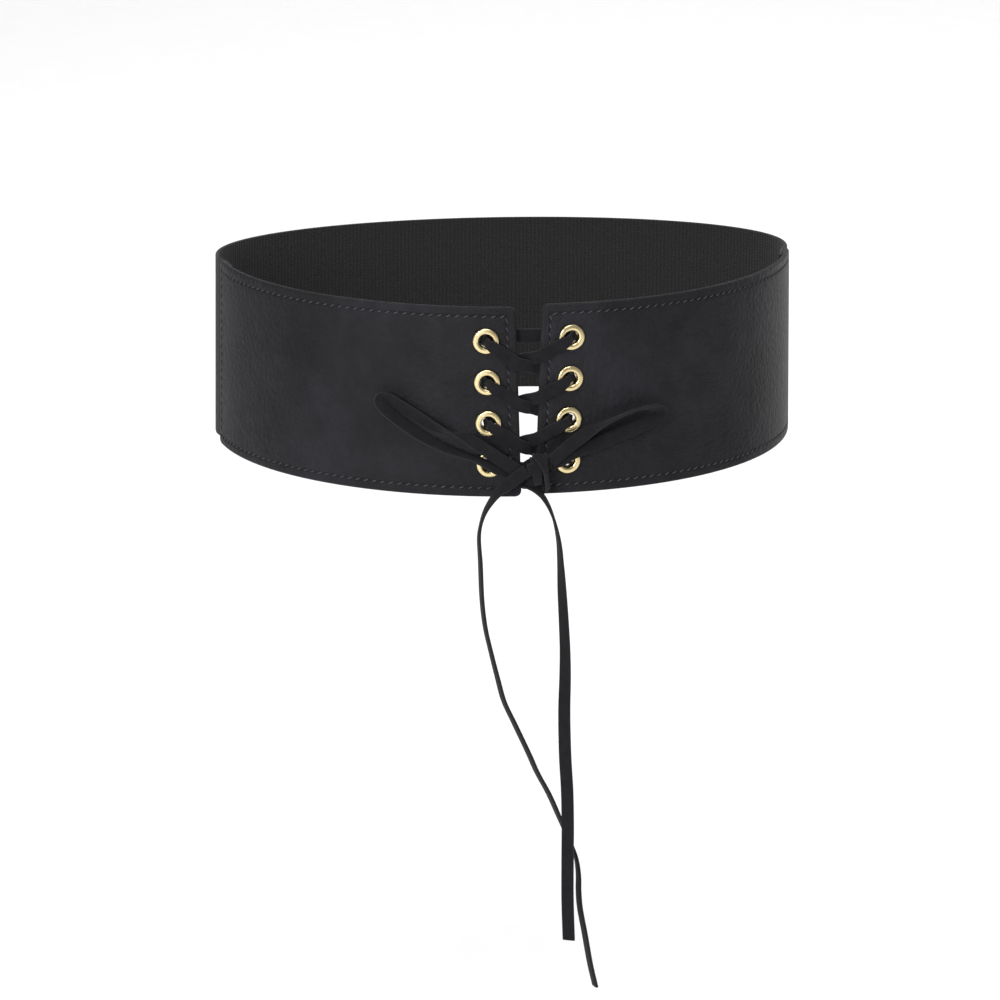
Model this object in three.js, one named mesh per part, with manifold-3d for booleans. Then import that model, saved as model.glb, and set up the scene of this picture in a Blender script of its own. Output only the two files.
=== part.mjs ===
// A laced corset belt, built round its own waist opening.
// Millimetres, +Z up. The origin is the middle of the waist opening at half the belt's height.
// The laced front faces -Y, and +X is to the right of someone who looks at that front.
import * as THREE from "three";
import { mergeVertices } from "three/addons/utils/BufferGeometryUtils.js";
import Module from "manifold-3d";

const wasm = await Module();
wasm.setup();

// Plan of the waist at the leather's outer face: two half ellipses that share their widest line
const waistHalfWidth = 137;
const frontDepth = 129;          // from the widest line forward to the gap
const backDepth = 73;            // from the widest line back to the middle of the elastic
const flare = 0.5;               // how far the rims lean, in at the top and out at the bottom

// Leather panels, one each side of the laced gap
const beltHeight = 88.8;
const panelLength = 187;         // along the waist, from the gap's middle height to the side seam
const panelThickness = 2.4;      // two layers of leather cloth, folded and stitched
const panelEdgeRadius = 1.2;
const panelCornerRadius = 3;
const gapHalfAtTop = 5.9;
const gapHalfAtBottom = 3.1;
const panelStep = 0.55;          // the right panel sits this much high and the left one as much low

// Elastic band round the back
const bandThickness = 1.6;
const bandRimInset = 1;          // how far its rims stay inside the leather's rims
const bandOverlap = 12;          // tucked under each panel's end
const bandEase = 14;             // over this length it comes out level with the leather

// Eyelets
const eyeletRows = 4;
const firstRowDrop = 15.6;       // from the top rim down to the first row
const rowPitch = 19.2;
const eyeletInset = 14.2;        // from the gap's edge to the eyelet's middle
const eyeletHoleRadius = 3.15;
const eyeletBarrelWall = 0.45;
const flangeRadius = 6;
const flangeHeight = 1.5;
const washerRadius = 5.4;
const washerHeight = 0.9;

// Flat suede lace
const laceWidth = 6;
const laceThickness = 1.4;
const gatheredWidth = 5.1;       // just before and after an eyelet
const pinchedWidth = 3.6;        // inside an eyelet
const pinchedThickness = 1.6;
const laceBend = 2.6;            // radius of its middle where it turns round an eyelet's rim
const laceBite = 0.8;            // how far it pulls towards the gap in front of an eyelet's middle
const laceSlack = 1.45;          // how far it bows away from the gap behind an eyelet's middle
const barRise = 0.9;             // the straight stretch behind the first row lies this much high
const laceMeet = 1.7;            // its two ends reach the knot this much above the knot's middle,
const laceSpread = 1.85;         // the right one this much higher and the left one as much lower

// Knot of the bow: middle along the waist, middle height, and half sizes
const knotAlong = 4;
const knotHang = 2.6;            // of its middle below the last row of eyelets
const knotHalfLength = 7;
const knotHalfWidth = 3.4;
const knotHalfDepth = 3.5;
const knotStandOff = 5.1;        // of its middle from the leather
const wrapHalfWidth = 2.2;
const wrapHalfLength = 8.3;
const wrapPride = 0.7;           // how far the wrap stands out in front of the knot's core
const wrapLean = THREE.MathUtils.degToRad(12);
const wrapAside = 2.3;           // its middle lies this much right of the knot's and `wrapBelow` lower
const wrapBelow = 1.1;

const clearance = 0.3;           // left between pieces that touch
const weldDistance = 1e-4;       // points closer than this are one point

const lastRowLevel = beltHeight / 2 - firstRowDrop - (eyeletRows - 1) * rowPitch;
const knotDrop = knotHang - lastRowLevel;

// How far the leather's face falls away from flat under an eyelet's washer
const washerSag = washerRadius ** 2 / ((2 * waistHalfWidth ** 2) / frontDepth);

const leather = new THREE.MeshStandardMaterial({ color: "#2d2d30", roughness: 0.5, metalness: 0 });
const suede = new THREE.MeshStandardMaterial({ color: "#29282a", roughness: 0.95, metalness: 0 });
const elastic = new THREE.MeshStandardMaterial({ color: "#161617", roughness: 0.9, metalness: 0 });
const brass = new THREE.MeshStandardMaterial({ color: "#e5d2a1", roughness: 0.3, metalness: 1 });

// The plan curve by arc length from the gap: lengths are summed over small steps of the ellipse angle
const planSteps = 1440;
const planTable = [];
for (let i = 0; i <= planSteps; i++) {
  const angle = (Math.PI * i) / planSteps;
  const depth = angle < Math.PI / 2 ? frontDepth : backDepth;
  const x = waistHalfWidth * Math.sin(angle);
  const y = (frontDepth - backDepth) / 2 - depth * Math.cos(angle);
  const before = planTable[i - 1];
  const length = before ? before.length + Math.hypot(x - before.x, y - before.y) : 0;
  const outward = new THREE.Vector2(depth * Math.sin(angle), -waistHalfWidth * Math.cos(angle)).normalize();
  planTable.push({ length, x, y, outward });
}
const halfRound = planTable[planSteps].length;

// Point of the plan at a signed arc length from the gap, with its outward direction
function planAt(along) {
  const reach = Math.min(Math.abs(along), halfRound);
  const side = along < 0 ? -1 : 1;
  let low = 0;
  let high = planSteps;
  while (high - low > 1) {
    const middle = (low + high) >> 1;
    if (planTable[middle].length <= reach) low = middle;
    else high = middle;
  }
  const from = planTable[low];
  const to = planTable[high];
  const share = (reach - from.length) / (to.length - from.length);
  const outward = from.outward.clone().lerp(to.outward, share).normalize();
  return {
    x: side * (from.x + (to.x - from.x) * share),
    y: from.y + (to.y - from.y) * share,
    out: new THREE.Vector3(side * outward.x, outward.y, 0),
  };
}

// Point at arc length `along` and height z, `off` outside the leather's outer face
function wallPoint(along, z, off) {
  const { x, y, out } = planAt(along);
  const reach = off - (flare * z) / (beltHeight / 2);
  return new THREE.Vector3(x + out.x * reach, y + out.y * reach, z);
}

// Half the gap's width at a height, wider at the top
function gapHalf(z) {
  const share = 0.5 - z / beltHeight;
  return gapHalfAtTop + (gapHalfAtBottom - gapHalfAtTop) * share;
}

// A closed solid through rings of equally many points, with a flat cap on each end
function loft(rings) {
  const count = rings[0].length;
  const positions = rings.flat().flatMap((point) => point.toArray());
  const faces = [];
  for (let i = 0; i < rings.length - 1; i++) {
    for (let j = 0; j < count; j++) {
      const a = i * count + j;
      const b = i * count + ((j + 1) % count);
      faces.push(a, b, b + count, a, b + count, a + count);
    }
  }
  for (const [ring, flip] of [[0, true], [rings.length - 1, false]]) {
    for (const face of capFaces(rings[ring])) {
      const ordered = flip ? [...face].reverse() : face;
      faces.push(...ordered.map((index) => ring * count + index));
    }
  }
  return outwardGeometry(positions, faces);
}

// Triangles that fill one nearly flat ring
function capFaces(ring) {
  const middle = ring.reduce((sum, point) => sum.add(point), new THREE.Vector3()).divideScalar(ring.length);
  const normal = new THREE.Vector3();
  ring.forEach((point, i) => {
    const next = ring[(i + 1) % ring.length];
    normal.add(point.clone().sub(middle).cross(next.clone().sub(middle)));
  });
  normal.normalize();
  const first = ring[0].clone().sub(middle).normalize();
  const second = normal.clone().cross(first);
  const flat = ring.map((point) => {
    const arm = point.clone().sub(middle);
    return new THREE.Vector2(arm.dot(first), arm.dot(second));
  });
  return THREE.ShapeUtils.triangulateShape(flat, []);
}

// An indexed geometry whose faces point out, whichever way its rings ran
function outwardGeometry(positions, faces) {
  const corner = (index) => new THREE.Vector3().fromArray(positions, 3 * index);
  let volume = 0;
  for (let i = 0; i < faces.length; i += 3) {
    volume += corner(faces[i]).dot(corner(faces[i + 1]).cross(corner(faces[i + 2])));
  }
  if (volume < 0) faces.reverse();
  const geometry = new THREE.BufferGeometry();
  geometry.setAttribute("position", new THREE.Float32BufferAttribute(positions, 3));
  geometry.setIndex(faces);
  return geometry;
}

// A three.js geometry as a solid that can be joined and cut
function toSolid(geometry) {
  const bare = geometry.clone();
  for (const name of Object.keys(bare.attributes)) {
    if (name !== "position") bare.deleteAttribute(name);
  }
  const merged = mergeVertices(bare, weldDistance);
  return new wasm.Manifold(new wasm.Mesh({
    numProp: 3,
    vertProperties: new Float32Array(merged.attributes.position.array),
    triVerts: new Uint32Array(merged.index.array),
  }));
}

function fromSolid(solid) {
  const mesh = solid.getMesh();
  const geometry = new THREE.BufferGeometry();
  geometry.setAttribute("position", new THREE.Float32BufferAttribute(mesh.vertProperties, 3));
  geometry.setIndex([...mesh.triVerts]);
  return geometry;
}

// Closed outline of a wall's section, as (height, off) pairs: outer face up, over the rim, inner face down
function wallSection(low, high, outer, inner, rimRadius, rows, rimSteps = 3) {
  const section = [];
  const middle = (outer + inner) / 2;
  const half = (outer - inner) / 2;
  for (let i = 0; i <= rows; i++) {
    section.push([low + rimRadius + ((high - low - 2 * rimRadius) * i) / rows, outer]);
  }
  for (let i = 1; i < rimSteps; i++) {
    const turn = (Math.PI * i) / rimSteps;
    section.push([high - rimRadius + rimRadius * Math.sin(turn), middle + half * Math.cos(turn)]);
  }
  for (let i = rows; i >= 0; i--) {
    section.push([low + rimRadius + ((high - low - 2 * rimRadius) * i) / rows, inner]);
  }
  for (let i = 1; i < rimSteps; i++) {
    const turn = Math.PI * (1 + i / rimSteps);
    section.push([low + rimRadius + rimRadius * Math.sin(turn), middle + half * Math.cos(turn)]);
  }
  return section;
}

// Middle of an eyelet: row 0 is the top one, side -1 the left panel
function eyeletAt(row, side) {
  const level = beltHeight / 2 - firstRowDrop - row * rowPitch;
  return { along: side * (gapHalf(level) + eyeletInset), z: level + side * panelStep, side };
}

// Turns a geometry whose own +Y is the eyelet's axis to stand out of the leather at an eyelet
function placeAtEyelet(geometry, eyelet) {
  const { out } = planAt(eyelet.along);
  geometry.applyQuaternion(new THREE.Quaternion().setFromUnitVectors(new THREE.Vector3(0, 1, 0), out));
  const seat = wallPoint(eyelet.along, eyelet.z, 0);
  return geometry.translate(seat.x, seat.y, seat.z);
}

// One leather panel: sections along the waist, thinner and lower at the rounded ends, with the eyelet holes cut
function leatherPanel(side) {
  const rows = 4;
  const stretches = 17;
  const thinnest = 0.35;         // share of the thickness left at the very end
  const ends = [0, 0.3, 1, panelCornerRadius / panelEdgeRadius].map((share) => share * panelEdgeRadius);
  const plain = panelLength - 2 * panelCornerRadius;
  const places = [...ends];
  for (let i = 1; i < stretches; i++) places.push(panelCornerRadius + (plain * i) / stretches);
  places.push(...ends.map((end) => panelLength - end).reverse());

  const rings = places.map((place) => {
    const end = Math.min(place, panelLength - place);
    const cornerArm = Math.max(0, panelCornerRadius - end);
    const drop = panelCornerRadius - Math.sqrt(panelCornerRadius ** 2 - cornerArm ** 2);
    const edgeArm = Math.max(0, panelEdgeRadius - end) / panelEdgeRadius;
    const fullness = Math.max(thinnest, Math.sqrt(1 - edgeArm ** 2));
    const half = (panelThickness / 2) * fullness;
    const middle = -panelThickness / 2;
    const top = beltHeight / 2 - drop;
    const share = place / panelLength;
    return wallSection(-top, top, middle + half, middle - half, panelEdgeRadius, rows).map(([z, off]) => {
      const start = gapHalf(z);
      const finish = gapHalf(0) + panelLength;
      const along = side * (start + (finish - start) * share);
      return wallPoint(along, z, off).add(new THREE.Vector3(0, 0, side * panelStep));
    });
  });

  let solid = toSolid(loft(rings));
  const holeRadius = eyeletHoleRadius + eyeletBarrelWall + clearance;
  for (let row = 0; row < eyeletRows; row++) {
    const drill = new THREE.CylinderGeometry(holeRadius, holeRadius, 6 * panelThickness, 20);
    solid = solid.subtract(toSolid(placeAtEyelet(drill, eyeletAt(row, side))));
  }
  return fromSolid(solid);
}

// Elastic band: from under one panel's end round the back to under the other's
function backBand() {
  const seam = gapHalf(0) + panelLength;
  const start = seam - bandOverlap;
  const tucked = -(panelThickness + clearance);
  const halfLength = halfRound - start;
  const sections = 40;
  const rim = bandThickness / 2;
  const high = beltHeight / 2 - bandRimInset;
  const rings = [];
  for (let i = 0; i <= sections; i++) {
    const walked = (2 * halfLength * i) / sections;
    const reach = start + Math.min(walked, 2 * halfLength - walked);
    const side = walked <= halfLength ? 1 : -1;
    const risen = THREE.MathUtils.smoothstep(reach, seam, seam + bandEase);
    const outer = tucked * (1 - risen);
    const lift = side * panelStep * (1 - Math.min(1, Math.max(0, (reach - seam) / (halfRound - seam))));
    const section = wallSection(-high, high, outer, outer - bandThickness, rim, 2, 2);
    rings.push(section.map(([z, off]) => wallPoint(side * reach, z, off).add(new THREE.Vector3(0, 0, lift))));
  }
  return loft(rings);
}

// One eyelet: rolled flange in front, barrel through the leather, rolled washer behind
function eyelet(place) {
  const outerBarrel = eyeletHoleRadius + eyeletBarrelWall;
  const seat = clearance;
  const back = -(panelThickness + clearance + washerSag);
  const roll = flangeRadius - eyeletHoleRadius;
  const rollBack = washerRadius - eyeletHoleRadius;
  const profile = [
    [eyeletHoleRadius, back - washerHeight * 0.5],
    [eyeletHoleRadius, seat + flangeHeight * 0.5],
    [eyeletHoleRadius + roll * 0.15, seat + flangeHeight * 0.85],
    [eyeletHoleRadius + roll * 0.4, seat + flangeHeight],
    [eyeletHoleRadius + roll * 0.75, seat + flangeHeight * 0.85],
    [flangeRadius, seat + flangeHeight * 0.3],
    [flangeRadius - roll * 0.08, seat],
    [outerBarrel, seat],
    [outerBarrel, back],
    [washerRadius, back],
    [washerRadius - rollBack * 0.15, back - washerHeight * 0.8],
    [eyeletHoleRadius + rollBack * 0.3, back - washerHeight],
  ].map(([radius, height]) => new THREE.Vector2(radius, height));
  profile.push(profile[0].clone());
  const turned = new THREE.LatheGeometry(profile, 20);
  for (const name of ["normal", "uv"]) turned.deleteAttribute(name);
  const merged = mergeVertices(turned, weldDistance);
  return placeAtEyelet(outwardGeometry([...merged.attributes.position.array], [...merged.index.array]), place);
}

// The eight-sided outline of a flat lace round one point of its middle
function laceRing(middle, across, through, width, thickness) {
  const bevel = thickness * 0.3;
  const halfWidth = width / 2;
  const halfThickness = thickness / 2;
  const outline = [
    [halfWidth, -halfThickness + bevel], [halfWidth, halfThickness - bevel],
    [halfWidth - bevel, halfThickness], [-halfWidth + bevel, halfThickness],
    [-halfWidth, halfThickness - bevel], [-halfWidth, -halfThickness + bevel],
    [-halfWidth + bevel, -halfThickness], [halfWidth - bevel, -halfThickness],
  ];
  return outline.map(([a, t]) => middle.clone().addScaledVector(across, a).addScaledVector(through, t));
}

// A flat lace through stations that give its middle, and at each the direction of its width
function laceSolid(stations, across) {
  const middles = stations.map((station) => station.middle);
  const rings = stations.map((station, i) => {
    const before = middles[Math.max(0, i - 1)];
    const after = middles[Math.min(middles.length - 1, i + 1)];
    const travel = after.clone().sub(before).normalize();
    const width = across(station, travel);
    width.addScaledVector(travel, -width.dot(travel)).normalize();
    const through = travel.clone().cross(width);
    return laceRing(station.middle, width, through, station.width ?? laceWidth, station.thickness ?? laceThickness);
  });
  return loft(rings);
}

// How far off the leather's outer face the lace's middle lies, in each place that it passes
const overLeather = clearance + laceThickness / 2;
const overFlange = clearance + flangeHeight + clearance + laceThickness / 2;
const underLeather = -(panelThickness + clearance + laceThickness / 2);
const underWasher = underLeather - clearance - washerHeight - washerSag;

// Where each kind of strand stands at the gap's two edges, as a share of its drop to the next row,
// and at which shares of the way across the gap it has sunk by which share from over to under the leather
const strands = {
  over: {
    nearDrop: 0.58,
    farDrop: 0.76,
    dive: [{ across: 0.2, sunk: 0.08 }, { across: 0.45, sunk: 0.3 }, { across: 0.8, sunk: 1 }],
  },
  under: {
    nearDrop: 0.4,
    farDrop: 0.57,
    dive: [{ across: 0.3, sunk: 0.3 }, { across: 0.55, sunk: 0.75 }, { across: 0.85, sunk: 1 }],
  },
};

// Lace through one eyelet, from behind to in front, turning back towards the gap
function throughEyelet(place, slopeBehind, slopeBefore) {
  const way = -place.side;
  const front = overFlange - laceBend;
  const back = underWasher + laceBend;
  const eighth = laceBend * Math.SQRT1_2;
  const rows = [
    { off: underWasher, from: laceBend - laceSlack, slope: slopeBehind, width: gatheredWidth },
    { off: back - eighth, from: laceBend - laceSlack - eighth, slope: slopeBehind, width: pinchedWidth },
    { off: back, from: -laceSlack, slope: slopeBehind, width: pinchedWidth },
    { off: front, from: laceBite, slope: slopeBefore, width: pinchedWidth },
    { off: front + eighth, from: laceBite + laceBend - eighth, slope: slopeBefore, width: pinchedWidth },
    { off: overFlange, from: laceBite + laceBend, slope: slopeBefore, width: gatheredWidth },
  ];
  return rows.map(({ off, from, slope, width }, i) => {
    const lean = Math.atan(slope);
    return {
      along: place.along + way * from * Math.cos(lean),
      z: place.z + way * from * Math.sin(lean),
      off,
      slope: slopeBehind + ((slopeBefore - slopeBehind) * i) / (rows.length - 1),
      width,
      thickness: width === pinchedWidth ? pinchedThickness : laceThickness,
    };
  });
}

// Lace from the front of one eyelet, down across the gap and behind the other panel to the next row
function acrossGap(from, to, strand) {
  const way = -from.side;
  const drop = to.z - from.z;
  const nearZ = from.z + drop * strand.nearDrop;
  const farZ = from.z + drop * strand.farDrop;
  const near = { along: from.side * gapHalf(nearZ), z: nearZ };
  const far = { along: to.side * gapHalf(farZ), z: farZ };
  const slopes = {
    front: (near.z - from.z) / (near.along - from.along),
    gap: (far.z - near.z) / (far.along - near.along),
    behind: (to.z - far.z) / (to.along - far.along),
  };
  const stations = downFlange(from, slopes.front);
  stations.push(between(from, near, 1, overLeather));
  for (const { across, sunk } of strand.dive) {
    stations.push(between(near, far, across, overLeather + (underLeather - overLeather) * sunk));
  }
  stations.push(between(far, to, panelEdgeRadius / eyeletInset, underLeather));
  stations.push(between(far, to, 0.4, (underLeather + underWasher) / 2));
  return { stations, slopes };
}

// Lace station at a share of the way from one place to another on the leather
function between(from, to, share, off) {
  return {
    along: from.along + (to.along - from.along) * share,
    z: from.z + (to.z - from.z) * share,
    off,
    slope: (to.z - from.z) / (to.along - from.along),
  };
}

// Lace coming down off an eyelet's flange on to the leather, towards the gap
function downFlange(place, slope) {
  const way = -place.side;
  const rows = [
    { from: flangeRadius + clearance, off: overFlange - flangeHeight / 3 },
    { from: flangeRadius + laceThickness + 2 * clearance, off: overLeather + clearance },
  ];
  return rows.map(({ from, off }) => ({
    along: place.along + way * from, z: place.z + slope * way * from, off, slope,
  }));
}

// Half of the lacing: from the first row's eyelet on one side down to the knot
function halfLacing(side) {
  const stations = [];
  let place = eyeletAt(0, side);
  let slopeBehind = 0;
  for (let row = 0; row < eyeletRows - 1; row++) {
    const next = eyeletAt(row + 1, -place.side);
    const hop = acrossGap(place, next, place.side < 0 ? strands.over : strands.under);
    stations.push(...throughEyelet(place, slopeBehind, hop.slopes.front), ...hop.stations);
    slopeBehind = hop.slopes.behind;
    place = next;
  }
  const end = {
    along: knotAlong + place.side * (knotHalfWidth + clearance),
    z: laceMeet + place.side * laceSpread - knotDrop,
  };
  const slope = (end.z - place.z) / (end.along - place.along);
  stations.push(...throughEyelet(place, slopeBehind, slope), ...downFlange(place, slope));
  stations.push(between(place, end, 1, overLeather + clearance));
  return stations;
}

// The whole laced stretch: knot to first row, straight behind the gap, and down to the knot again
function lacedStretch() {
  const left = halfLacing(-1).reverse();
  const right = halfLacing(1);
  const level = (eyeletAt(0, -1).z + eyeletAt(0, 1).z) / 2 + barRise;
  const bar = [-1, 0, 1].map((place) => ({ along: place * gapHalf(level), z: level, off: underWasher, slope: 0 }));
  const stations = [...left, ...bar, ...right];
  for (const station of stations) station.middle = wallPoint(station.along, station.z, station.off);
  return laceSolid(stations, (station) => {
    const { out } = planAt(station.along);
    const right = new THREE.Vector3(-out.y, out.x, 0);
    const lean = Math.atan(station.slope);
    return right.multiplyScalar(-Math.sin(lean)).add(new THREE.Vector3(0, 0, Math.cos(lean)));
  });
}

// Bow loops, from the knot along the upper strand to the tip and back along the lower one.
// along and z are counted from the knot's middle, away from it and up; off is from the leather;
// turn is the lace's width turned from straight out of the leather towards the loop's outside.
const leftLoop = [
  { along: 6.5, z: -1.6, off: 6.3, turn: -86 },
  { along: 11.6, z: 2.1, off: 6.3, turn: -86 },
  { along: 17.8, z: 6.4, off: 6.5, turn: -84 },
  { along: 24, z: 10.7, off: 6.4, turn: -72 },
  { along: 28.6, z: 13.7, off: 5.9, turn: -52 },
  { along: 32.9, z: 15.8, off: 5.2, turn: -26 },
  { along: 37.5, z: 17.1, off: 4.7, turn: 8 },
  { along: 42.2, z: 18.4, off: 4.5, turn: 38 },
  { along: 47.7, z: 20.7, off: 4.2, turn: 60 },
  { along: 54.2, z: 24.4, off: 3.8, turn: 68 },
  { along: 61.5, z: 28.5, off: 3.7, turn: 68 },
  { along: 67, z: 31.4, off: 3.8, turn: 64 },
  { along: 70.3, z: 32, off: 4.3, turn: 56 },
  { along: 71.2, z: 30.4, off: 4.8, turn: 48 },
  { along: 68.6, z: 26.5, off: 4.8, turn: 38 },
  { along: 63.1, z: 22.1, off: 4.5, turn: 35 },
  { along: 54.7, z: 16.5, off: 4.3, turn: 34 },
  { along: 47.2, z: 12.6, off: 4.3, turn: 32 },
  { along: 40.3, z: 9.7, off: 4.5, turn: 28 },
  { along: 33.9, z: 7.6, off: 5.2, turn: 18 },
  { along: 27.5, z: 5.6, off: 5.6, turn: 14 },
  { along: 21.8, z: 3.2, off: 6.6, turn: 30 },
  { along: 16.5, z: 0.8, off: 5.2, turn: 72 },
  { along: 11.5, z: -1.2, off: 4.6, turn: 86 },
  { along: 6.5, z: -2.4, off: 4.3, turn: 88 },
];
const rightLoop = [
  { along: 4.9, z: 4.1, off: 6.3, turn: -87 },
  { along: 9.6, z: 8.3, off: 6.5, turn: -86 },
  { along: 13.5, z: 11.4, off: 6.3, turn: -80 },
  { along: 17.9, z: 14.4, off: 5.7, turn: -66 },
  { along: 21.8, z: 16.7, off: 5, turn: -40 },
  { along: 26.3, z: 18.7, off: 4.8, turn: -8 },
  { along: 31, z: 20.5, off: 4.6, turn: 10 },
  { along: 36.2, z: 22.6, off: 4.5, turn: 15 },
  { along: 44.2, z: 25, off: 4.5, turn: 19 },
  { along: 50, z: 25.9, off: 4.6, turn: 26 },
  { along: 54.8, z: 25.2, off: 4.8, turn: 38 },
  { along: 57.6, z: 22.8, off: 4.8, turn: 52 },
  { along: 55.9, z: 20.6, off: 4.4, turn: 66 },
  { along: 52.4, z: 18.9, off: 3.9, turn: 74 },
  { along: 47.2, z: 17, off: 3.5, turn: 79 },
  { along: 39.3, z: 14.7, off: 3.2, turn: 82 },
  { along: 27.6, z: 11.1, off: 3.3, turn: 80 },
  { along: 19, z: 8.8, off: 4.1, turn: 78 },
  { along: 13.5, z: 6.9, off: 4.8, turn: 80 },
  { along: 8.7, z: 4.4, off: 4.8, turn: 84 },
  { along: 4.9, z: 2.4, off: 4.5, turn: 88 },
];

function bowLoop(rows, side) {
  const stations = rows.map((row) => ({
    ...row,
    along: knotAlong + side * row.along,
    z: row.z - knotDrop,
  }));
  for (const station of stations) station.middle = wallPoint(station.along, station.z, station.off);
  return laceSolid(stations, (station, travel) => {
    const { out } = planAt(station.along);
    const outside = out.clone().cross(travel).normalize().multiplyScalar(side);
    const turn = THREE.MathUtils.degToRad(station.turn);
    return out.multiplyScalar(Math.cos(turn)).addScaledVector(outside, Math.sin(turn));
  });
}

// Hanging ends. x and z are counted from the knot's middle, forward is in front of the leather at the gap,
// and turn is the lace's width turned from straight forward to its flat side showing.
const leftTail = [
  { x: -5.4, z: 1.1, forward: 8.8, turn: 88 },
  { x: -8.6, z: -1.1, forward: 8.8, turn: 86 },
  { x: -11.8, z: -3.5, forward: 8.5, turn: 80 },
  { x: -15.3, z: -6.1, forward: 7.8, turn: 52 },
  { x: -18, z: -8.9, forward: 6.9, turn: 24 },
  { x: -21.5, z: -13.5, forward: 6.1, turn: 10 },
  { x: -24.6, z: -19.3, forward: 5.2, turn: 1 },
  { x: -26.3, z: -25.3, forward: 4.5, turn: -3 },
  { x: -27, z: -31.2, forward: 4, turn: 2 },
  { x: -26.3, z: -43.4, forward: 3.2, turn: 7 },
  { x: -25.4, z: -62.1, forward: 2.2, turn: 8 },
  { x: -23.8, z: -75.1, forward: 1.6, turn: 9 },
  { x: -21.1, z: -87.2, forward: 1.1, turn: 10 },
  { x: -18.1, z: -99.4, forward: 0.7, turn: 12 },
  { x: -15, z: -111, forward: 0.3, turn: 14 },
  { x: -10, z: -122.2, forward: 0, turn: 16 },
  { x: -3.1, z: -137.5, forward: -0.4, turn: 16 },
  { x: 0.5, z: -146, forward: -0.6, turn: 16 },
  { x: 6.4, z: -157.5, forward: -0.8, turn: 16 },
  { x: 11.6, z: -169.8, forward: -1, turn: 14 },
  { x: 16.2, z: -180.6, forward: -1, turn: 10 },
  { x: 19.1, z: -188.6, forward: -1, turn: 8 },
  { x: 20.3, z: -197, forward: -1, turn: 10 },
  { x: 20.4, z: -204.8, forward: -1, turn: 12 },
  { x: 21, z: -212.7, forward: -1, turn: 14 },
  { x: 23.4, z: -226.1, forward: -1, turn: 15 },
  { x: 26.2, z: -242, forward: -1, turn: 15 },
  { x: 28.6, z: -252.5, forward: -1, turn: 15 },
];
const rightTail = [
  { x: -6.6, z: -6.4, forward: 3.2, turn: -20 },
  { x: -3.9, z: -7.4, forward: 3.4, turn: -20 },
  { x: -0.8, z: -9.4, forward: 3.7, turn: -17 },
  { x: 2, z: -12.3, forward: 3.9, turn: -12 },
  { x: 4.8, z: -16.9, forward: 4.1, turn: -7 },
  { x: 7.3, z: -23.3, forward: 4.4, turn: -1 },
  { x: 9.6, z: -33.8, forward: 4.6, turn: 9 },
  { x: 10.5, z: -44.6, forward: 4.8, turn: 18 },
  { x: 11.2, z: -57.4, forward: 5, turn: 31 },
  { x: 12.1, z: -72.7, forward: 5.2, turn: 38 },
  { x: 12.7, z: -85.5, forward: 5.4, turn: 43 },
  { x: 12.8, z: -98, forward: 5.5, turn: 50 },
  { x: 12.5, z: -115.3, forward: 5.6, turn: 58 },
  { x: 13, z: -136.5, forward: 5.8, turn: 62 },
  { x: 14, z: -153.4, forward: 6, turn: 63 },
  { x: 14.4, z: -170.9, forward: 6, turn: 63 },
  { x: 14.4, z: -188.4, forward: 6, turn: 63 },
  { x: 14.5, z: -206.1, forward: 6, turn: 63 },
  { x: 14.9, z: -218.8, forward: 6, turn: 62 },
  { x: 15.2, z: -226.7, forward: 6, turn: 62 },
];

function hangingEnd(rows) {
  const gapFront = planAt(0).y;
  const forward = new THREE.Vector3(0, -1, 0);
  const stations = rows.map((row) => ({
    ...row,
    middle: new THREE.Vector3(knotAlong + row.x, gapFront - row.forward, row.z - knotDrop),
  }));
  return laceSolid(stations, (station, travel) => {
    const sideways = forward.clone().cross(travel).normalize();
    const turn = THREE.MathUtils.degToRad(station.turn);
    return forward.clone().multiplyScalar(Math.cos(turn)).addScaledVector(sideways, Math.sin(turn));
  });
}

// A ball pressed towards a box with rounded edges, half sizes along, up and out
function pillow(halfAlong, halfUp, halfOut) {
  const squareness = 0.6;
  const geometry = new THREE.SphereGeometry(1, 14, 10);
  const points = geometry.attributes.position;
  const press = (value) => Math.sign(value) * Math.abs(value) ** squareness;
  for (let i = 0; i < points.count; i++) {
    points.setXYZ(
      i,
      press(points.getX(i)) * halfAlong,
      press(points.getY(i)) * halfUp,
      press(points.getZ(i)) * halfOut,
    );
  }
  return geometry;
}

// The knot: a core of crossed lace with one turn wrapped round its right half, leaning out at the bottom
function bowKnot() {
  const core = toSolid(pillow(knotHalfWidth, knotHalfLength, knotHalfDepth));
  const turn = pillow(wrapHalfWidth, wrapHalfLength, knotHalfDepth);
  turn.rotateZ(wrapLean).translate(wrapAside, -wrapBelow, wrapPride);
  const geometry = fromSolid(core.add(toSolid(turn)));
  const { out } = planAt(knotAlong);
  const middle = wallPoint(knotAlong, -knotDrop, knotStandOff);
  const right = new THREE.Vector3(-out.y, out.x, 0);
  const up = new THREE.Vector3(0, 0, 1);
  geometry.applyMatrix4(new THREE.Matrix4().makeBasis(right, up, right.clone().cross(up)));
  return geometry.translate(middle.x, middle.y, middle.z);
}

const belt = new THREE.Group();
function add(name, geometry, material) {
  const mesh = new THREE.Mesh(geometry, material);
  mesh.name = name;
  belt.add(mesh);
}

for (const [name, side] of [["left", -1], ["right", 1]]) {
  add(`panel_${name}`, leatherPanel(side), leather);
  for (let row = 0; row < eyeletRows; row++) {
    add(`eyelet_${name}_${row + 1}`, eyelet(eyeletAt(row, side)), brass);
  }
}
add("back_band", backBand(), elastic);
add("lace", lacedStretch(), suede);
add("bow_knot", bowKnot(), suede);
add("bow_loop_left", bowLoop(leftLoop, -1), suede);
add("bow_loop_right", bowLoop(rightLoop, 1), suede);
add("lace_tail_left", hangingEnd(leftTail), suede);
add("lace_tail_right", hangingEnd(rightTail), suede);

export default belt;
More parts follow.
